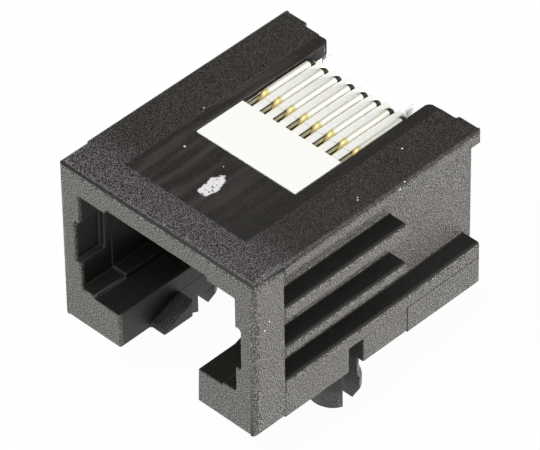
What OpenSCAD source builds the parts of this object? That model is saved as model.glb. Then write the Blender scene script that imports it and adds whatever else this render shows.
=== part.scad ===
// Board jack for an eight-way modular plug.
// The plug enters at the front (-Y) with its latch down, and the board is the plane z = 0.
// The origin lies on the board, midway between the two locating pegs.

/* [Housing] */
// Width across the front collar and the side flanges
housing_w = 15.24; // [15.1:0.01:15.5]
// Height of the arm tops above the board
housing_h = 11.3; // [11.2:0.05:11.6]
// Depth of the front collar
collar_d = 2.35; // [2.2:0.05:2.6]
// Radius on the collar's outer edges
collar_r = 0.45; // [0.2:0.05:0.6]
// Drop of the smooth middle zone below the arm tops
zone_drop = 0.06; // [0.05:0.01:0.2]
// Half width of the smooth middle zone
zone_half = 4.65; // [4.4:0.05:4.9]
// Depth of the side pockets behind the flange and ribs
pocket_d = 1.3; // [1.1:0.05:1.35]
// Depth from the front face to the rear edge of the side panels
panel_rear = 18.64; // [18.4:0.01:19]
// Depth from the front face to the rear end of the bottom rails
rail_rear = 18.0; // [17.8:0.05:18.3]
// Depth from the front face to the rear end of the top flanges
flange_rear = 18.02; // [17.8:0.05:18.3]

/* [Plug opening] */
// Half width of the opening beside the plug
opening_half = 6.05; // [5.95:0.01:6.1]
// Half width of the raised middle of the ceiling, over the contacts
ceiling_half = 3.95; // [3.9:0.01:4]
// Height of the raised middle of the ceiling
ceiling_z = 9.8; // [9.75:0.05:9.8]
// Height of the floor that the plug slides on
floor_z = 2.5; // [2.4:0.01:2.55]
// Half width of the latch channel through the floor
channel_half = 3.12; // [3.1:0.01:3.2]
// Half width of the gap between the latch shoulders
shoulder_half = 1.97; // [1.7:0.05:2.2]

/* [Locating pegs] */
// Distance between the two pegs
peg_spacing = 11.43; // [11.3:0.01:11.6]
// Depth from the front face to the pegs
peg_setback = 8.0; // [7.9:0.05:8.1]
// Radius of each peg
peg_r = 1.46; // [1.4:0.01:1.52]
// Width of the slot that splits each peg
peg_slot = 1.1; // [0.9:0.05:1.1]
// Length of the barbed prong below the board
peg_len = 3.2; // [2.8:0.05:3.4]

/* [Contacts] */
// Distance between neighbouring contacts
pitch = 1.016; // [1:0.001:1.02]
// Radius of the contact wire
wire_r = 0.23; // [0.2:0.01:0.23]
// Length of the solder tails below the board
tail_len = 3.1; // [2.5:0.05:3.1]
// Slope of the spring part below level, in degrees
spring_slope = 25; // [22:1:26]

/* [Contact carrier] */
// Half width of the carrier's deck between the arms
deck_half = 3.82; // [3.8:0.01:3.83]
// Depth from the front face to the front edge of the carrier's deck
deck_front = 7.08; // [6.95:0.01:7.15]
// Depth from the front face to the rear end of the carrier's deck
deck_rear = 16.35; // [16.35:0.01:16.45]

/* [Hidden] */
$fn = 48;
contacts = 8;
half_w = housing_w / 2;
top_z = housing_h;
zone_z = top_z - zone_drop;
panel_x = half_w - pocket_d;
eps = 0.05;

// Housing walls
cavity_half = 5.95;
cavity_rear = 12.1;
side_ceiling_z = 9.52;
ledge_x = 4.8;
rear_wall_x = 4.95;
flange_z = 10.48;
wall_z = 10.1;
rib_rear = 12.0;
rib_heights = [[4.66, 5.36], [7.25, 8.22]];
rail_z = 2.85;
rail_rise = 0.15;
rail_step_y = 12.1;
rail_step_z = 1.92;
rail_step_d = 0.06;
collar_lift = 0.05;
foot_x = 5.05;
foot_z = 2.73;
notch_half = 6.46;
notch_z = [4.55, 7.45];
notch_d = 1.9;
arm_x = 3.84;
inner_flange_x = 5.85;
inner_flange_rear = 17.74;
arm_edge_r = 0.25;
arm_corner_r = 0.42;
flange_corner_r = 0.3;
tie_bar_y = [11.2, 12.1];
shoulder_y = [collar_d, 4.7];
shoulder_z = [0.35, 1.28];
wall_step_z = 1.26;
wall_step_d = 0.05;
channel_low = channel_half - 0.08;
peg_notch_z = 1.88;
peg_notch_x = 4.1;
prong_len = 3.14;
barb_r = peg_r + 0.17;

// Contact carrier
block_rear = 10.72;
trough_rear = 11.93;
trough_z = 10.92;
deck_z = 10.97;
runner_half = 4.75;
runner_z = [9.8, 10.4];
cheek_x = [4.15, 4.9];
cheek_rear = 17.12;
comb_y = [12.1, 13.6];
comb_slot_d = 1.0;
comb_z = [2.6, 5.2];
leg_y = [14.9, deck_rear];
leg_z = 3.5;
bar_z = [0.3, 1.3];
guide_slot = 0.5;
loose_slot = 0.62;
lug_x = 3.05;
lug_y = [16.5, 17.3];
lug_z = [8.8, 10.98];

// Contact path, measured back from the front face and up from the board
run_z = deck_z;
drop_y = 16.1;
rear_bend_r = 0.42;
hook_y = 12.08;
hook_r = 0.35;
low_bend_r = 0.3;
low_z = run_z - hook_r - low_bend_r;
nose_r = 0.145;
nose_y = 5.4;
nose_z = low_z - wire_r - nose_r;
spring_end_y = 12.6;
jog_r = 0.5;
jog_slope = 50;
jog_z = 1.4;
tail_rows = [14.35, 16.89];
bend_step = 18;
wire_sides = 12;

function contact_x(n) = (n - (contacts + 1) / 2) * pitch;

// A box between two opposite corners
module block(lo, hi) {
  translate(lo)
    cube([hi[0] - lo[0], hi[1] - lo[1], hi[2] - lo[2]]);
}

// The same shape on the right and on the left
module both_sides() {
  children();
  mirror([1, 0, 0])
    children();
}

// A flat outline in x and z, pushed back from one depth to another
module push_back(from, to) {
  translate([0, to, 0])
    rotate([90, 0, 0])
      linear_extrude(to - from)
        children();
}

// A flat outline in y and z, spread across from one side to another
module spread(from, to) {
  translate([from, 0, 0])
    rotate([90, 0, 90])
      linear_extrude(to - from)
        children();
}

// A rectangle with all four corners round
module round_rect(lo, hi, r) {
  translate([lo[0] + r, lo[1]])
    square([hi[0] - lo[0] - 2 * r, hi[1] - lo[1]]);
  translate([lo[0], lo[1] + r])
    square([hi[0] - lo[0], hi[1] - lo[1] - 2 * r]);
  for (x = [lo[0] + r, hi[0] - r], y = [lo[1] + r, hi[1] - r])
    translate([x, y])
      circle(r);
}

// ---- Housing ----

// Front collar, round on its outer edges
module collar() {
  intersection() {
    push_back(0, collar_d)
      round_rect([-half_w, collar_lift], [half_w, top_z], collar_r);
    linear_extrude(top_z)
      round_rect([-half_w, 0], [half_w, 2 * collar_d], collar_r);
    spread(-half_w, half_w)
      round_rect([0, -collar_d], [2 * collar_d, top_z], collar_r);
  }
}

// Outline of the hole that the plug enters, with its keying steps
module opening_outline() {
  both_sides()
    polygon([
      [-eps, ceiling_z], [ceiling_half, ceiling_z],
      [ceiling_half, side_ceiling_z], [opening_half, side_ceiling_z],
      [opening_half, foot_z], [foot_x, foot_z],
      [foot_x, floor_z], [channel_half, floor_z],
      [channel_low, collar_lift], [channel_low, -1], [-eps, -1]
    ]);
}

// Section of one side behind the collar: floor, rail, ribs, flange and roof
module side_section() {
  polygon([
    [channel_low, collar_lift], [half_w, collar_lift],
    [half_w, rail_z], [panel_x, rail_z],
    [panel_x, top_z - eps], [half_w, top_z - eps], [half_w, top_z],
    [zone_half + zone_drop, top_z], [zone_half, zone_z],
    [-eps, zone_z], [-eps, ceiling_z],
    [ceiling_half, ceiling_z], [ceiling_half, side_ceiling_z],
    [cavity_half, side_ceiling_z], [cavity_half, foot_z],
    [foot_x, foot_z], [foot_x, floor_z], [channel_half, floor_z]
  ]);
}

// Bottom rail with its rising top edge
module rail() {
  spread(rear_wall_x, half_w)
    polygon([
      [collar_d, collar_lift], [rail_step_y, collar_lift], [rail_step_y, 0],
      [rail_rear, 0], [rail_rear, rail_z + rail_rise],
      [rib_rear, rail_z], [collar_d, rail_z]
    ]);
}

// Top flange and arm, seen from above, with round rear corners
module arm_plan() {
  translate([inner_flange_x, collar_d])
    square([half_w - inner_flange_x, flange_rear - flange_corner_r - collar_d]);
  translate([inner_flange_x, collar_d])
    square([half_w - inner_flange_x - flange_corner_r, flange_rear - collar_d]);
  translate([half_w - flange_corner_r, flange_rear - flange_corner_r])
    circle(flange_corner_r);
  translate([arm_x, collar_d])
    square([inner_flange_x - arm_x + eps, inner_flange_rear - arm_corner_r - collar_d]);
  translate([arm_x + arm_corner_r, collar_d])
    square([inner_flange_x - arm_x - arm_corner_r + eps, inner_flange_rear - collar_d]);
  translate([arm_x + arm_corner_r, inner_flange_rear - arm_corner_r])
    circle(arm_corner_r);
}

// Top flange and arm, a little lower along its inner edge
module arm() {
  intersection() {
    linear_extrude(top_z)
      arm_plan();
    push_back(collar_d, flange_rear)
      polygon([
        [arm_x - eps, runner_z[1]], [rear_wall_x + eps, runner_z[1]],
        [rear_wall_x + eps, flange_z], [half_w, flange_z], [half_w, top_z],
        [zone_half + zone_drop, top_z], [zone_half, zone_z], [arm_x - eps, zone_z]
      ]);
  }
}

// Ramped shoulder that the plug's latch snaps behind
module latch_shoulder() {
  spread(shoulder_half, channel_half + eps)
    polygon([
      [shoulder_y[0], collar_lift], [shoulder_y[1], collar_lift],
      [shoulder_y[1], shoulder_z[1]], [shoulder_y[0], shoulder_z[0]]
    ]);
}

// Split locating peg: a plain front prong and a barbed rear prong
module peg() {
  slot = peg_slot / 2;
  translate([peg_spacing / 2, peg_setback, 0]) {
    intersection() {
      rotate_extrude()
        polygon([
          [0, eps], [peg_r, eps], [peg_r, -prong_len + 0.25],
          [peg_r - 0.25, -prong_len], [0, -prong_len]
        ]);
      block([-peg_r, -peg_r, -peg_len], [peg_r, -slot, 1]);
    }
    intersection() {
      rotate_extrude()
        polygon([
          [0, eps], [peg_r, eps], [peg_r, -1.3],
          [barb_r, -1.6], [barb_r, -2.2], [peg_r - 0.35, -peg_len], [0, -peg_len]
        ]);
      block([-barb_r, slot, -peg_len], [barb_r, barb_r, 1]);
    }
  }
}

// Everything that makes up one side of the housing behind the collar
module housing_side() {
  push_back(collar_d, rib_rear)
    side_section();
  for (z = rib_heights)
    block([panel_x - eps, collar_d, z[0]], [half_w, rib_rear, z[1]]);
  block([rear_wall_x, cavity_rear, rail_z - 1], [panel_x, panel_rear, wall_z]);
  block([rear_wall_x, cavity_rear, wall_z - 1],
        [panel_x, inner_flange_rear - arm_corner_r, flange_z + eps]);
  block([cavity_half, rib_rear - eps, floor_z], [panel_x, cavity_rear + eps, flange_z + eps]);
  rail();
  block([channel_half, rib_rear - eps, collar_lift], [rear_wall_x + eps, tie_bar_y[1], floor_z]);
  block([channel_half - wall_step_d, shoulder_y[1] - eps, collar_lift],
        [channel_half + eps, rib_rear, wall_step_z]);
  arm();
  latch_shoulder();
  peg();
}

// Space for the carrier's deck, its runners and its nose
module carrier_space() {
  block([-arm_x, deck_front, ceiling_z - 1], [arm_x, panel_rear + 1, top_z + 1]);
  block([-ledge_x, deck_front, runner_z[0]], [ledge_x, panel_rear + 1, runner_z[1]]);
  block([-ceiling_half, 4.6, ceiling_z - 1], [ceiling_half, deck_front + eps, low_z + wire_r + 0.05]);
}

module housing() {
  color([0.13, 0.125, 0.13])
    translate([0, -peg_setback, 0])
      difference() {
        union() {
          collar();
          intersection() {
            both_sides()
              housing_side();
            push_back(0, panel_rear)
              round_rect([-half_w, -peg_len - 1], [half_w, top_z], arm_edge_r);
          }
          block([-channel_half - eps, tie_bar_y[0], collar_lift],
                [channel_half + eps, tie_bar_y[1], floor_z]);
        }
        push_back(-1, collar_d + eps)
          opening_outline();
        both_sides()
          block([0, -1, notch_z[0]], [notch_half, notch_d, notch_z[1]]);
        carrier_space();
        both_sides() {
          translate([half_w - rail_step_d, collar_d, -1])
            cube([1, rail_step_y - collar_d, 1 + rail_step_z]);
          block([peg_notch_x, peg_setback - peg_slot / 2, -1],
                [half_w + 1, peg_setback + peg_slot / 2, peg_notch_z]);
        }
      }
}

// ---- Contact carrier ----

// Nose that the contacts wrap round
module nose() {
  translate([-ceiling_half + 0.05, nose_y, nose_z])
    rotate([0, 90, 0])
      cylinder(r = nose_r, h = 2 * ceiling_half - 0.1);
  block([-ceiling_half + 0.05, nose_y, nose_z - nose_r],
        [ceiling_half - 0.05, deck_front + eps, nose_z + nose_r]);
}

// Side plates, back comb, rear leg and tail bar, all hanging from the deck
module carrier_frame() {
  both_sides() {
    block([deck_half - eps, deck_front, runner_z[0]],
          [runner_half, cheek_rear, runner_z[1]]);
    block([cheek_x[0], comb_y[0], bar_z[0]], [cheek_x[1], cheek_rear, runner_z[0] + eps]);
    block([lug_x, lug_y[0], lug_z[0]], [cheek_x[0] + eps, cheek_rear, runner_z[1]]);
    block([lug_x, lug_y[0], lug_z[0]], [deck_half, lug_y[1], lug_z[1]]);
  }
  block([-cheek_x[0] - eps, comb_y[0], comb_z[0]], [cheek_x[0] + eps, comb_y[1], runner_z[1]]);
  block([-cheek_x[0] - eps, leg_y[0], leg_z], [cheek_x[0] + eps, leg_y[1], runner_z[1]]);
  block([-cheek_x[0] - eps, tail_rows[0] - wire_r, bar_z[0]],
        [cheek_x[0] + eps, cheek_rear, bar_z[1]]);
}

// The wide top: front block, slotted trough and wire deck
module carrier_deck() {
  block([-deck_half, deck_front, runner_z[0]], [deck_half, block_rear, zone_z]);
  block([-deck_half, block_rear - eps, runner_z[0]], [deck_half, trough_rear + eps, trough_z]);
  block([-deck_half, trough_rear, runner_z[0]], [deck_half, deck_rear, deck_z]);
}

// Everything cut away for one contact
module wire_way(row) {
  g = guide_slot / 2;
  s = loose_slot / 2;
  wire_bottom = low_z - wire_r;
  // groove along the deck
  block([-g, hook_y, run_z - wire_r], [g, deck_rear + 1, run_z + 1]);
  // slot where the wire dips under the front block
  block([-g, block_rear + 0.23, wire_bottom], [g, hook_y + hook_r, top_z]);
  // tunnel under the front block
  block([-g, nose_y - 1, wire_bottom], [g, block_rear + 0.5, low_z + wire_r]);
  // rear slot round the bend and down the leg
  block([-s, drop_y - rear_bend_r, runner_z[0]], [s, deck_rear + 1, top_z]);
  block([-s, drop_y - wire_r, leg_z - 1], [s, deck_rear + 0.1, run_z]);
  // guide for the free end of the spring
  block([-s, comb_y[0] - 1, comb_z[1]], [s, comb_y[0] + comb_slot_d, runner_z[0]]);
  // notch in the tail bar
  if (row == 0)
    block([-g, tail_rows[0] - 1, 0], [g, tail_rows[0] + wire_r, 2]);
  else
    block([-g, tail_rows[1] - wire_r, 0], [g, tail_rows[1] + 1, 2]);
}

module contact_carrier() {
  color([0.93, 0.92, 0.88])
    translate([0, -peg_setback, 0])
      difference() {
        union() {
          carrier_deck();
          carrier_frame();
          nose();
        }
        for (n = [1:contacts])
          translate([contact_x(n), 0, 0])
            wire_way((n + 1) % 2);
      }
}

// ---- Contacts ----

// Points along a bend in the y-z plane, from one angle to another
function bend(centre, r, from, to) =
  let (steps = ceil(abs(to - from) / bend_step))
  [for (i = [0:steps])
    let (t = from + (to - from) * i / steps)
    centre + r * [cos(t), sin(t)]];

// Points of the jog that carries one row of tails to the rear drop
function jog(tail_y, side) =
  let (
    sideways = jog_r * (1 - cos(jog_slope)),
    slant = (abs(drop_y - tail_y) - 2 * sideways) / sin(jog_slope),
    rise = 2 * jog_r * sin(jog_slope) + slant * cos(jog_slope),
    low = bend([jog_r, 0], jog_r, 180, 180 - jog_slope),
    high = bend([abs(drop_y - tail_y) - jog_r, rise], jog_r, -jog_slope, 0)
  )
  [for (p = concat(low, high)) [tail_y + side * p[0], jog_z + p[1]]];

// Whole centre line: tail, jog, rear drop, deck run, hook, low run, nose and spring
function wire_path(row) =
  let (
    turn = bend([nose_y, nose_z], nose_r + wire_r, 90, 270 - spring_slope),
    turn_end = turn[len(turn) - 1],
    spring_run = spring_end_y - turn_end[0]
  )
  concat(
    [[tail_rows[row], -tail_len], [tail_rows[row], wire_r - tail_len]],
    jog(tail_rows[row], row == 0 ? 1 : -1),
    bend([drop_y - rear_bend_r, run_z - rear_bend_r], rear_bend_r, 0, 90),
    bend([hook_y + hook_r, run_z - hook_r], hook_r, 90, 180),
    bend([hook_y - low_bend_r, low_z + low_bend_r], low_bend_r, -bend_step, -90),
    turn,
    [turn_end + spring_run * [1, -tan(spring_slope)]]
  );

// Round wire swept along a path of [y, z] points, with a blunt first end
module wire(path) {
  last = len(path) - 1;
  rings = [
    for (i = [0:last])
      let (
        d = path[min(i + 1, last)] - path[max(i - 1, 0)],
        across = [-d[1], d[0]] / norm(d),
        r = i == 0 ? wire_r / 2 : wire_r
      )
      for (k = [0:wire_sides - 1])
        let (t = 360 * k / wire_sides)
        [r * cos(t), path[i][0] + r * sin(t) * across[0], path[i][1] + r * sin(t) * across[1]]
  ];
  walls = [
    for (i = [0:last - 1], k = [0:wire_sides - 1])
      let (a = i * wire_sides + k, b = i * wire_sides + (k + 1) % wire_sides)
      [a, a + wire_sides, b + wire_sides, b]
  ];
  first_end = [for (k = [0:wire_sides - 1]) k];
  last_end = [for (k = [wire_sides - 1:-1:0]) last * wire_sides + k];
  polyhedron(points = rings, faces = concat(walls, [first_end, last_end]));
}

module contact(n) {
  color([0.85, 0.7, 0.35])
    translate([contact_x(n), -peg_setback, 0])
      wire(wire_path((n + 1) % 2));
}

housing();
contact_carrier();
contact(1);  // contact_1
contact(2);  // contact_2
contact(3);  // contact_3
contact(4);  // contact_4
contact(5);  // contact_5
contact(6);  // contact_6
contact(7);  // contact_7
contact(8);  // contact_8
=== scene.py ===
import math

import bmesh
import bpy
from mathutils import Matrix, Vector


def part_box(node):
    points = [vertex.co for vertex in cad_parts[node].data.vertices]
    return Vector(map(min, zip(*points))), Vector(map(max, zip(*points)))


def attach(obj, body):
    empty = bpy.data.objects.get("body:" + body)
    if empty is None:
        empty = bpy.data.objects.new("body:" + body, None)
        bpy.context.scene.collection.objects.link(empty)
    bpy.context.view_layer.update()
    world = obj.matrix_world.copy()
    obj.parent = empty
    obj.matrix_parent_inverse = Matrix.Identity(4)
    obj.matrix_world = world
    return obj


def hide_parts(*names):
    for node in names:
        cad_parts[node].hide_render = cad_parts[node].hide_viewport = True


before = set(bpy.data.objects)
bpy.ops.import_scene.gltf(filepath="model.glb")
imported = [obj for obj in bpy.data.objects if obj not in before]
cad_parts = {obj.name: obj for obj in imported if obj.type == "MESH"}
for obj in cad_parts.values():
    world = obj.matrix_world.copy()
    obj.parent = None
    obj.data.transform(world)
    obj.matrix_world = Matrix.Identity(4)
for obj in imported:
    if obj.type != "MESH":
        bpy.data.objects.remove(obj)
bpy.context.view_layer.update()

MM = 0.001

# ---------------------------------------------------------------- places on the jack

HOUSING_LOW, HOUSING_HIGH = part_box("housing")
_, CARRIER_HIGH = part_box("contact_carrier")
FRONT_Y = HOUSING_LOW.y
TOP_Z = HOUSING_HIGH.z
SIDE_X = HOUSING_HIGH.x
GROUND_Z = HOUSING_LOW.z
DECK_Z = CARRIER_HIGH.z - 0.27 * MM         # deck that the wires run over
COLLAR_REAR = FRONT_Y + 2.35 * MM
REAR_Y = FRONT_Y + 17.3 * MM                # faces behind this are the arms' ends
ZONE_HALF = 4.65 * MM                       # half width of the smooth middle of the roof
SKIN_X = 5.4 * MM                           # walls that face outwards beyond this are grained
OUTER_X = 7.4 * MM                          # beyond this lie the collar, the rails and the flange
# height of the painted shadow line under the top flange
FLANGE_SHADOW_Z = 10.42 * MM
RAIL_SEAM_Z = 1.92 * MM
HOOK_Y = FRONT_Y + 12.4 * MM                # the wires hook down in front of this
REAR_BEND = (FRONT_Y + 15.7 * MM, FRONT_Y + 16.12 * MM)
SLOT_Y = (FRONT_Y + 10.4 * MM, FRONT_Y + 12.6 * MM)
# painted shade in the wire slots: a band of their walls and everything below the deep height
SLOT_RIM = (DECK_Z - 0.22 * MM, DECK_Z - 0.1 * MM)
SLOT_DEEP_Z = DECK_Z - 0.46 * MM
TAIL_TONE_Z = DECK_Z - 0.75 * MM            # below this the plating is deeper in colour
GATE_PLACE = Vector((0.08 * MM, FRONT_Y + 4.4 * MM, TOP_Z))
GATE_HALF = Vector((0.5 * MM, 1.0 * MM, 1.0))     # half sizes; its height doesn't count
# small chips in the plastic: x, distance behind the front face, depth below the top, radius, in mm
CHIPS = ((-3.35, 5.7, 0.06, 0.09), (-0.6, 5.97, 0.06, 0.05), (-4.85, 8.7, 0.0, 0.06),
         (5.5, 13.8, 0.0, 0.08), (7.5, 11.9, 0.0, 0.07), (6.7, 9.0, 0.0, 0.07),
         (6.55, 9.15, 0.0, 0.06), (7.62, 11.4, 0.2, 0.07), (7.62, 1.14, 3.2, 0.07),
         (7.62, 0.75, 3.62, 0.07))

# ---------------------------------------------------------------- colours and finishes

MOULDED_BLACK = (0.03, 0.029, 0.028)
BLACK_SHEEN = (1.0, 0.985, 0.955, 1)
BLACK_IOR = 1.6
BLACK_ROUGHNESS = 0.5
FLECK_SHINE = 0.2                           # how much smoother a fleck is than the pits
COLLAR_FLECK = (0.215, 0.196, 0.212)
ARM_FLECK = (0.09, 0.081, 0.072)
ZONE_FLECK = (0.04, 0.035, 0.031)
# painted light: the walls' flecks and pits are lighter than the roof's, for the light that falls on
# the upright walls
LIT_WALL_FLECK = (0.25, 0.24, 0.222)
LIT_WALL_PIT = (0.006, 0.0056, 0.005)
SMOOTH_PIT = (0.003, 0.0026, 0.002)
FLOW_STREAK = (0.045, 0.041, 0.039)
SCUFFED = (0.75, 0.73, 0.73)
PIT_SCALE = 12000
FLECK_SCALE = 16000
PEG_GRAIN = 0.6                             # share of the walls' grain that the pegs have

WHITE_MOULDING = (0.9, 0.895, 0.86)
WHITE_ROUGHNESS = 0.45
# painted shade inside the wire slots
SLOT_SHADE = (0.03, 0.025, 0.015)

PALE_PLATING = (0.97, 0.94, 0.78)
# painted highlight: the wires' run over the deck is painted nearly white
LIT_DECK_PLATING = (0.98, 0.97, 0.86)
HOOK_PLATING = (0.74, 0.63, 0.27)
TAIL_PLATING = (0.86, 0.74, 0.42)
# painted dark reflection on the wires' rear bends
BEND_DARK_REFLECTION = (0.03, 0.026, 0.016)
PLATING_ROUGHNESS = 0.38
PLATING_METAL = 0.5

# ---------------------------------------------------------------- camera, lamps and floor

CAMERA_TURN = math.radians(44.97)
CAMERA_RISE = math.radians(41.56)
CAMERA_ROLL = math.radians(-0.854)
CAMERA_REACH = (6.176 * MM, 8.338 * MM, 311.57 * MM)
CAMERA_LENS = 373.33
CAMERA_SENSOR = 36

LAMP_AIM = (0, 0, 0.005)
# name, place, size in metres, watts, whether gloss shows the lamp
LAMPS = (("lamp_key", (-0.02, -0.26, 0.42), (0.34, 0.34), 1.72, True),
         ("lamp_front", (-0.36, -0.46, 0.055), (0.44, 0.10), 1.64, False),
         ("lamp_right", (0.48, 0.40, 0.055), (0.44, 0.10), 6.35, False))

ROOM_GLOSS = 0.09                           # brightness of the room in gloss, beside the card
ROOM_FILL = 0.45                            # light of the room on dull surfaces
CARD_START, CARD_FULL = -0.1, 0.3           # directions in x between which the white card begins

FLOOR_HALF = 1.5
FLOOR_COLOUR = (0.86, 0.86, 0.86, 1)
FLOOR_GLOW = 0.96                           # share of plain white where the floor is seen


def make_camera():
    right = Vector((math.cos(CAMERA_TURN), math.sin(CAMERA_TURN), 0))
    back = Vector((math.sin(CAMERA_TURN) * math.cos(CAMERA_RISE),
                   -math.cos(CAMERA_TURN) * math.cos(CAMERA_RISE), math.sin(CAMERA_RISE)))
    up = back.cross(right)
    tilt = Matrix.Rotation(CAMERA_ROLL, 3, back)
    right, up = tilt @ right, tilt @ up
    across, rise, away = CAMERA_REACH
    place = Vector((0, FRONT_Y, 0)) + across * right + rise * up + away * back
    turned = Matrix((right, up, back)).transposed().to_4x4()
    data = bpy.data.cameras.new("camera")
    data.sensor_fit = "HORIZONTAL"
    data.sensor_width = CAMERA_SENSOR
    data.lens = CAMERA_LENS
    data.clip_start = 0.01
    data.clip_end = 10
    camera = bpy.data.objects.new("camera", data)
    camera.matrix_world = Matrix.Translation(place) @ turned
    bpy.context.scene.collection.objects.link(camera)
    bpy.context.scene.camera = camera


def make_lamp(name, place, size, watts, in_gloss):
    data = bpy.data.lights.new(name, "AREA")
    data.shape = "RECTANGLE"
    data.size, data.size_y = size
    data.energy = watts
    lamp = bpy.data.objects.new(name, data)
    lamp.location = place
    lamp.rotation_euler = (Vector(place) - Vector(LAMP_AIM)).to_track_quat("Z", "Y").to_euler()
    lamp.visible_glossy = in_gloss
    bpy.context.scene.collection.objects.link(lamp)


def make_world():
    """A dim room, white where the camera looks and where gloss looks to the right."""
    world = bpy.data.worlds.new("studio")
    bpy.context.scene.world = world
    world.use_nodes = True
    tree = world.node_tree
    background = tree.nodes["Background"]
    background.inputs["Color"].default_value = (1.0, 1.0, 1.0, 1)
    direction = add(tree, "ShaderNodeTexCoord").outputs["Generated"]
    path = add(tree, "ShaderNodeLightPath").outputs
    card = ramp(tree, split(tree, direction)[0], CARD_START, CARD_FULL, ROOM_GLOSS, 1.0)
    gloss = product(tree, card, path["Is Glossy Ray"])
    fill = maths(tree, "MULTIPLY", path["Is Diffuse Ray"], ROOM_FILL)
    strength = highest(tree, gloss, path["Is Camera Ray"], fill)
    tree.links.new(strength, background.inputs["Strength"])


def make_floor():
    """Pale paper that keeps the jack's shadow, nearly white to the camera and in gloss."""
    mesh = bpy.data.meshes.new("floor")
    shape = bmesh.new()
    bmesh.ops.create_grid(shape, x_segments=1, y_segments=1, size=FLOOR_HALF,
                          matrix=Matrix.Translation((0, 0, GROUND_Z)))
    shape.to_mesh(mesh)
    shape.free()
    floor = bpy.data.objects.new("floor", mesh)
    bpy.context.scene.collection.objects.link(floor)
    material = bpy.data.materials.new("pale_floor")
    material.use_nodes = True
    tree = material.node_tree
    tree.nodes.clear()
    path = add(tree, "ShaderNodeLightPath").outputs
    seen = highest(tree, path["Is Camera Ray"], path["Is Glossy Ray"])
    paper = add(tree, "ShaderNodeBsdfDiffuse", Color=FLOOR_COLOUR)
    glow = add(tree, "ShaderNodeEmission", Strength=1.0)
    mix = add(tree, "ShaderNodeMixShader")
    output = add(tree, "ShaderNodeOutputMaterial")
    tree.links.new(maths(tree, "MULTIPLY", seen, FLOOR_GLOW), mix.inputs["Fac"])
    tree.links.new(paper.outputs[0], mix.inputs[1])
    tree.links.new(glow.outputs[0], mix.inputs[2])
    tree.links.new(mix.outputs[0], output.inputs["Surface"])
    mesh.materials.append(material)


# ---------------------------------------------------------------- shader helpers

def new_material(name, colour, roughness, metallic=0.0):
    material = bpy.data.materials.new(name)
    material.use_nodes = True
    shader = material.node_tree.nodes["Principled BSDF"]
    shader.inputs["Base Color"].default_value = (*colour, 1)
    shader.inputs["Roughness"].default_value = roughness
    shader.inputs["Metallic"].default_value = metallic
    return material, shader


def add(tree, kind, **values):
    """A new node; values named after its properties or its input sockets."""
    node = tree.nodes.new(kind)
    for name, value in values.items():
        if hasattr(node, name):
            setattr(node, name, value)
        else:
            node.inputs[name].default_value = value
    return node


def maths(tree, operation, first, second=None):
    node = add(tree, "ShaderNodeMath", operation=operation)
    for socket, value in zip(node.inputs, (first, second)):
        if isinstance(value, bpy.types.NodeSocket):
            tree.links.new(value, socket)
        elif value is not None:
            socket.default_value = value
    return node.outputs[0]


def product(tree, first, *masks):
    total = first
    for mask in masks:
        total = maths(tree, "MULTIPLY", total, mask)
    return total


def highest(tree, first, *masks):
    top = first
    for mask in masks:
        top = maths(tree, "MAXIMUM", top, mask)
    return top


def inverse(tree, mask):
    return maths(tree, "SUBTRACT", 1.0, mask)


def ramp(tree, value, low, high, start=0.0, end=1.0):
    """Carries low..high over to start..end, smoothly and no further."""
    node = add(tree, "ShaderNodeMapRange", interpolation_type="SMOOTHSTEP")
    tree.links.new(value, node.inputs["Value"])
    for name, number in (("From Min", low), ("From Max", high), ("To Min", start), ("To Max", end)):
        node.inputs[name].default_value = number
    return node.outputs["Result"]


def above(tree, value, place, soft):
    """1 where a value is above a place, 0 below it."""
    return ramp(tree, value, place - soft, place + soft)


def under(tree, value, place, soft):
    """1 where a value is under a place, 0 above it."""
    return ramp(tree, value, place + soft, place - soft)


def between(tree, value, places, soft):
    low, high = places
    return product(tree, above(tree, value, low, soft), under(tree, value, high, soft))


def line(tree, value, place, half):
    """1 along a thin line across which a value passes a place, 0 elsewhere."""
    apart = maths(tree, "ABSOLUTE", maths(tree, "SUBTRACT", value, place))
    return under(tree, apart, half, 0.3 * half)


def noise(tree, place, scale, detail=2.0, roughness=0.5):
    node = add(tree, "ShaderNodeTexNoise", Scale=scale, Detail=detail, Roughness=roughness)
    tree.links.new(place, node.inputs["Vector"])
    return node.outputs["Fac"]


def split(tree, vector):
    node = add(tree, "ShaderNodeSeparateXYZ")
    tree.links.new(vector, node.inputs[0])
    return node.outputs


def blend(tree, share, first, second):
    """Goes from the first colour to the second."""
    node = add(tree, "ShaderNodeMix", data_type="RGBA")
    tree.links.new(share, node.inputs["Factor"])
    for name, colour in (("A", first), ("B", second)):
        if isinstance(colour, bpy.types.NodeSocket):
            tree.links.new(colour, node.inputs[name])
        else:
            node.inputs[name].default_value = (*colour, 1)
    return node.outputs["Result"]


def distance(tree, place, centre, scale=(1, 1, 1)):
    """Distance from a centre, in units of scale."""
    apart = add(tree, "ShaderNodeVectorMath", operation="SUBTRACT")
    tree.links.new(place, apart.inputs[0])
    apart.inputs[1].default_value = centre
    sized = add(tree, "ShaderNodeVectorMath", operation="DIVIDE")
    tree.links.new(apart.outputs[0], sized.inputs[0])
    sized.inputs[1].default_value = scale
    length = add(tree, "ShaderNodeVectorMath", operation="LENGTH")
    tree.links.new(sized.outputs[0], length.inputs[0])
    return length.outputs["Value"]


def add_bump(tree, shader, height, depth, strength):
    bump = add(tree, "ShaderNodeBump", Distance=depth, Strength=strength)
    tree.links.new(height, bump.inputs["Height"])
    tree.links.new(bump.outputs["Normal"], shader.inputs["Normal"])


# ---------------------------------------------------------------- black plastic

SOFT = 0.1 * MM                             # how far one tone takes to turn into the next


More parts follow.
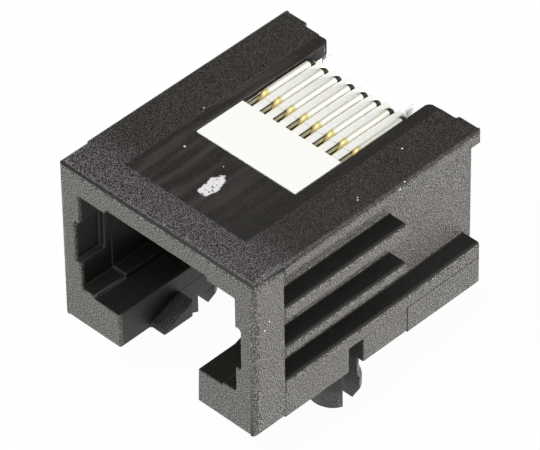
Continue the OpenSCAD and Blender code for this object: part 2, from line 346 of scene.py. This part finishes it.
def speckle_group():
    """Fine grain of spark-eroded plastic: a height and bright flecks."""
    tree = bpy.data.node_groups.new("speckle", "ShaderNodeTree")
    for name in ("Height", "Flecks"):
        tree.interface.new_socket(name, in_out="OUTPUT", socket_type="NodeSocketFloat")
    leave = tree.nodes.new("NodeGroupOutput")
    place = add(tree, "ShaderNodeTexCoord").outputs["Object"]
    flecks = noise(tree, place, FLECK_SCALE, 1.0, 0.8)
    tree.links.new(noise(tree, place, PIT_SCALE, 1.0, 0.6), leave.inputs["Height"])
    tree.links.new(ramp(tree, flecks, 0.50, 0.59), leave.inputs["Flecks"])
    return tree


def smooth_zone(tree, sideways, y):
    """The ungrained middle of the roof, behind the collar."""
    return product(tree, above(tree, y, COLLAR_REAR, SOFT),
                   under(tree, sideways, ZONE_HALF, 2 * SOFT))


def outer_skin(tree, x, y, z, facing):
    """The grained walls: flanks, front and rear faces and, more faintly, the pegs."""
    upright = under(tree, maths(tree, "ABSOLUTE", facing[2]), 0.6, 0.1)
    flank = above(tree, maths(tree, "MULTIPLY", facing[0], x), SKIN_X, SOFT)
    front = under(tree, y, FRONT_Y + 2.5 * SOFT, 0.5 * SOFT)
    rear = above(tree, y, REAR_Y, SOFT)
    pegs = ramp(tree, z, 0.0, -SOFT, 0.0, PEG_GRAIN)
    return product(tree, upright, highest(tree, flank, front, rear, pegs),
                   ramp(tree, z, -SOFT, 0.0, PEG_GRAIN, 1.0))


def seam_and_shadow_lines(tree, sideways, y, z, skin):
    """Dark lines behind the collar and along the rails, and a painted shadow line under the top
    flange.
    """
    outer = above(tree, sideways, OUTER_X, SOFT)
    collar = product(tree, outer, line(tree, y, COLLAR_REAR, 0.6 * SOFT))
    rail = product(tree, outer, line(tree, z, RAIL_SEAM_Z, 0.4 * SOFT))
    flange = line(tree, z, FLANGE_SHADOW_Z, 0.7 * SOFT)
    behind_collar = above(tree, y, COLLAR_REAR - SOFT, 0.2 * SOFT)
    return product(tree, highest(tree, collar, rail, flange), skin, behind_collar)


def front_brim(tree, y, z, facing):
    """The rounded edge between the roof and the front face, left without grain so that it shows a
    painted dark shade line.
    """
    slanting = product(tree, above(tree, facing[2], 0.325, 0.075),
                       under(tree, facing[2], 0.86, 0.06))
    return product(tree, slanting, above(tree, z, TOP_Z - 3.25 * SOFT, 0.25 * SOFT),
                   under(tree, y, FRONT_Y + 4.5 * SOFT, 0.5 * SOFT))


def flow_streaks(tree, place, x):
    """Streaks from front to rear, fainter towards the right."""
    along = add(tree, "ShaderNodeMapping", Scale=(1.0, 0.1, 1.0))
    tree.links.new(place, along.inputs["Vector"])
    streaks = ramp(tree, noise(tree, along.outputs["Vector"], 1500, 3.0, 0.6), 0.35, 0.7)
    return product(tree, streaks, ramp(tree, x, 4.5 * MM, -1.0 * MM, 0.15, 1.0))


def gate_mark(tree, place):
    """The ragged scuff where the moulding's gate was cut off."""
    ragged = maths(tree, "MULTIPLY", noise(tree, place, 1500, 3.0, 0.6), 1.1)
    edge = maths(tree, "ADD", distance(tree, place, GATE_PLACE, GATE_HALF), ragged)
    scratches = above(tree, noise(tree, place, 4200, 3.0, 0.7), 0.39, 0.04)
    return product(tree, under(tree, edge, 1.5, 0.1), scratches)


def chip_marks(tree, place):
    chips = []
    for x, behind_front, below_top, radius in CHIPS:
        centre = (x * MM, FRONT_Y + behind_front * MM, TOP_Z - below_top * MM)
        apart = distance(tree, place, centre)
        chips.append(under(tree, apart, 0.75 * radius * MM, 0.25 * radius * MM))
    return highest(tree, *chips)


def black_plastic():
    """Grained collar and walls, darker arms, a smooth middle zone and dark pockets; the walls are
    painted lighter than the roof as painted light, and thin dark lines and the front brim are left
    ungrained, partly as painted shade.
    """
    material, shader = new_material("black_plastic", MOULDED_BLACK, BLACK_ROUGHNESS)
    shader.inputs["IOR"].default_value = BLACK_IOR
    shader.inputs["Specular Tint"].default_value = BLACK_SHEEN
    tree = material.node_tree
    place = add(tree, "ShaderNodeTexCoord").outputs["Object"]
    x, y, z = split(tree, place)
    sideways = maths(tree, "ABSOLUTE", x)
    facing = split(tree, add(tree, "ShaderNodeNewGeometry").outputs["Normal"])
    speckle = add(tree, "ShaderNodeGroup", node_tree=speckle_group()).outputs

    top = above(tree, z, TOP_Z - 0.13 * MM, 0.03 * MM)
    front = under(tree, y, COLLAR_REAR + 0.5 * MM, 1.5 * MM)
    zone = smooth_zone(tree, sideways, y)
    skin = outer_skin(tree, x, y, z, facing)
    # painted shade: the shadow line under the flange and the front brim lose their bright flecks,
    # as do the dark lines behind the collar and along the rails
    bare_and_shaded = highest(tree, seam_and_shadow_lines(tree, sideways, y, z, skin), front_brim(tree, y, z, facing))
    grain = product(tree, highest(tree, top, skin), speckle["Flecks"], inverse(tree, bare_and_shaded))

    fleck = blend(tree, front, ARM_FLECK, COLLAR_FLECK)
    fleck = blend(tree, zone, fleck, ZONE_FLECK)
    # painted light: everything but the roof gets the walls' lighter flecks
    fleck = blend(tree, top, LIT_WALL_FLECK, fleck)
    pit = blend(tree, product(tree, skin, inverse(tree, top)), SMOOTH_PIT, LIT_WALL_PIT)
    pit = blend(tree, product(tree, zone, top, flow_streaks(tree, place, x)), pit, FLOW_STREAK)
    marks = highest(tree, product(tree, top, gate_mark(tree, place)), chip_marks(tree, place))
    colour = blend(tree, marks, blend(tree, grain, pit, fleck), SCUFFED)
    tree.links.new(colour, shader.inputs["Base Color"])
    shine = maths(tree, "MULTIPLY", grain, FLECK_SHINE)
    tree.links.new(maths(tree, "SUBTRACT", BLACK_ROUGHNESS, shine), shader.inputs["Roughness"])
    add_bump(tree, shader, speckle["Height"], 0.05 * MM, 0.8)
    return material


# ---------------------------------------------------------------- white plastic and plating

def white_plastic():
    """Satin white, with painted shade inside the wire slots."""
    material, shader = new_material("white_plastic", WHITE_MOULDING, WHITE_ROUGHNESS)
    tree = material.node_tree
    place = add(tree, "ShaderNodeTexCoord").outputs["Object"]
    _, y, z = split(tree, place)
    rim = between(tree, z, SLOT_RIM, 0.02 * MM)
    deep = under(tree, z, SLOT_DEEP_Z, 0.02 * MM)
    slot_shade = product(tree, highest(tree, rim, deep), between(tree, y, SLOT_Y, 0.04 * MM))
    colour = blend(tree, slot_shade, WHITE_MOULDING, SLOT_SHADE)
    tree.links.new(colour, shader.inputs["Base Color"])
    add_bump(tree, shader, noise(tree, place, 3000), 0.01 * MM, 0.2)
    return material


def gold_plate():
    """Gold plating, painted pale along the deck as a painted highlight, deeper in colour at the
    front hooks, and painted dark at the rear bends as a painted reflection.
    """
    material, shader = new_material("gold_plate", PALE_PLATING, PLATING_ROUGHNESS, PLATING_METAL)
    tree = material.node_tree
    place = add(tree, "ShaderNodeTexCoord").outputs["Object"]
    _, y, z = split(tree, place)
    hook = under(tree, y, HOOK_Y, 0.15 * MM)
    below_deck = under(tree, z, TAIL_TONE_Z, 0.25 * MM)
    # painted dark reflection where the wires bend down at the rear
    bend_reflection = between(tree, y, REAR_BEND, 0.05 * MM)
    # painted highlight: the deck run is paler than the hooks
    colour = blend(tree, hook, LIT_DECK_PLATING, HOOK_PLATING)
    colour = blend(tree, below_deck, colour, TAIL_PLATING)
    tree.links.new(blend(tree, bend_reflection, colour, BEND_DARK_REFLECTION), shader.inputs["Base Color"])
    add_bump(tree, shader, noise(tree, place, 4000), 0.005 * MM, 0.2)
    return material


# ---------------------------------------------------------------- pieces

EDGE_RADIUS = 0.12 * MM
BRIM_RADIUS = 0.28 * MM
CORNER_RADIUS = 0.45 * MM
CARRIER_RADIUS = 0.06 * MM
ROUND_STEPS = 3
ROOM_SHARE = 0.4                            # share of the room beside an edge that rounding takes
SHARP = math.radians(27)                    # edges flatter than this stay as they are
SHORTEST = 0.25 * MM                        # and so do shorter ones
FLAT = math.radians(0.5)
TOUCHING = 0.01 * MM
DOUBLES = 0.002 * MM


def merged_copy(node, name):
    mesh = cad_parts[node].data.copy()
    mesh.name = name
    mesh.materials.clear()
    shape = bmesh.new()
    shape.from_mesh(mesh)
    bmesh.ops.remove_doubles(shape, verts=shape.verts, dist=DOUBLES)
    return mesh, shape


def finish_piece(mesh, shape, material, node):
    shape.to_mesh(mesh)
    shape.free()
    mesh.materials.append(material)
    mesh.shade_smooth()
    piece = bpy.data.objects.new(mesh.name, mesh)
    bpy.context.scene.collection.objects.link(piece)
    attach(piece, "root")
    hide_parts(node)
    return piece


def face_reach(face, edge):
    """How far a face reaches away from one of its edges."""
    start = edge.verts[0].co
    along = (edge.verts[1].co - start).normalized()
    return max(((v.co - start) - along * (v.co - start).dot(along)).length for v in face.verts)


def edge_room(edge):
    """The widest rounding that an edge has room for beside its neighbours."""
    room = min(face_reach(face, edge) for face in edge.link_faces)
    for end in edge.verts:
        along = (edge.other_vert(end).co - end.co).normalized()
        for other in end.link_edges:
            side = other.other_vert(end).co - end.co
            if other is not edge and abs(side.normalized().dot(along)) < 0.98:
                room = min(room, side.length)
    return room


def housing_radius(edge):
    """Widest at the front's upright corners, then the upper brims; the collar's foot is sharp."""
    ends = [end.co for end in edge.verts]
    along = (ends[0] - ends[1]).normalized()
    if all(co.z < TOUCHING and co.y < COLLAR_REAR + 0.1 * MM for co in ends):
        return 0.0
    in_front = all(co.y < FRONT_Y + TOUCHING for co in ends)
    if abs(along.z) > 0.99 and in_front and all(abs(co.x) > SIDE_X - 0.3 * MM for co in ends):
        return CORNER_RADIUS
    front_brim = in_front and all(co.z > TOP_Z - 0.1 * MM for co in ends)
    outside = all(co.z > 2 * MM and abs(co.x) > 7 * MM for co in ends)
    upper = any(face.normal.z > 0.7 for face in edge.link_faces)
    side_brim = outside and upper and abs(along.y) > 0.99
    return BRIM_RADIUS if front_brim or side_brim else EDGE_RADIUS


def carrier_radius(_edge):
    return CARRIER_RADIUS


def moulded_piece(node, name, material, radius_of):
    """A copy of a moulding with its sharp edges rounded as far as they have room."""
    mesh, shape = merged_copy(node, name)
    bmesh.ops.dissolve_limit(shape, angle_limit=FLAT, use_dissolve_boundaries=False,
                             verts=shape.verts, edges=shape.edges, delimit=set())
    weights = shape.edges.layers.float.new("bevel_weight_edge")
    for edge in shape.edges:
        if edge.calc_face_angle(0) > SHARP and edge.calc_length() > SHORTEST:
            edge[weights] = min(radius_of(edge), ROOM_SHARE * edge_room(edge)) / CORNER_RADIUS
    piece = finish_piece(mesh, shape, material, node)
    bevel = piece.modifiers.new("edges", "BEVEL")
    bevel.width = CORNER_RADIUS
    bevel.segments = ROUND_STEPS
    bevel.limit_method = "WEIGHT"
    bevel.use_clamp_overlap = False
    bevel.miter_outer = "MITER_ARC"
    normals = piece.modifiers.new("normals", "WEIGHTED_NORMAL")
    normals.weight = 100
    return piece


def contact_wire(node, material):
    mesh, shape = merged_copy(node, node + "_wire")
    piece = finish_piece(mesh, shape, material, node)
    rounder = piece.modifiers.new("rounder", "SUBSURF")
    rounder.levels = rounder.render_levels = 1
    return piece


# ---------------------------------------------------------------- the whole scene

bpy.context.scene.view_settings.view_transform = "Standard"
make_camera()
make_world()
for lamp in LAMPS:
    make_lamp(*lamp)
make_floor()

housing_piece = moulded_piece("housing", "housing_shell", black_plastic(), housing_radius)
carrier_piece = moulded_piece("contact_carrier", "carrier_body", white_plastic(), carrier_radius)
gold = gold_plate()
for node in sorted(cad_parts):
    if node.startswith("contact_") and node != "contact_carrier":
        contact_wire(node, gold)
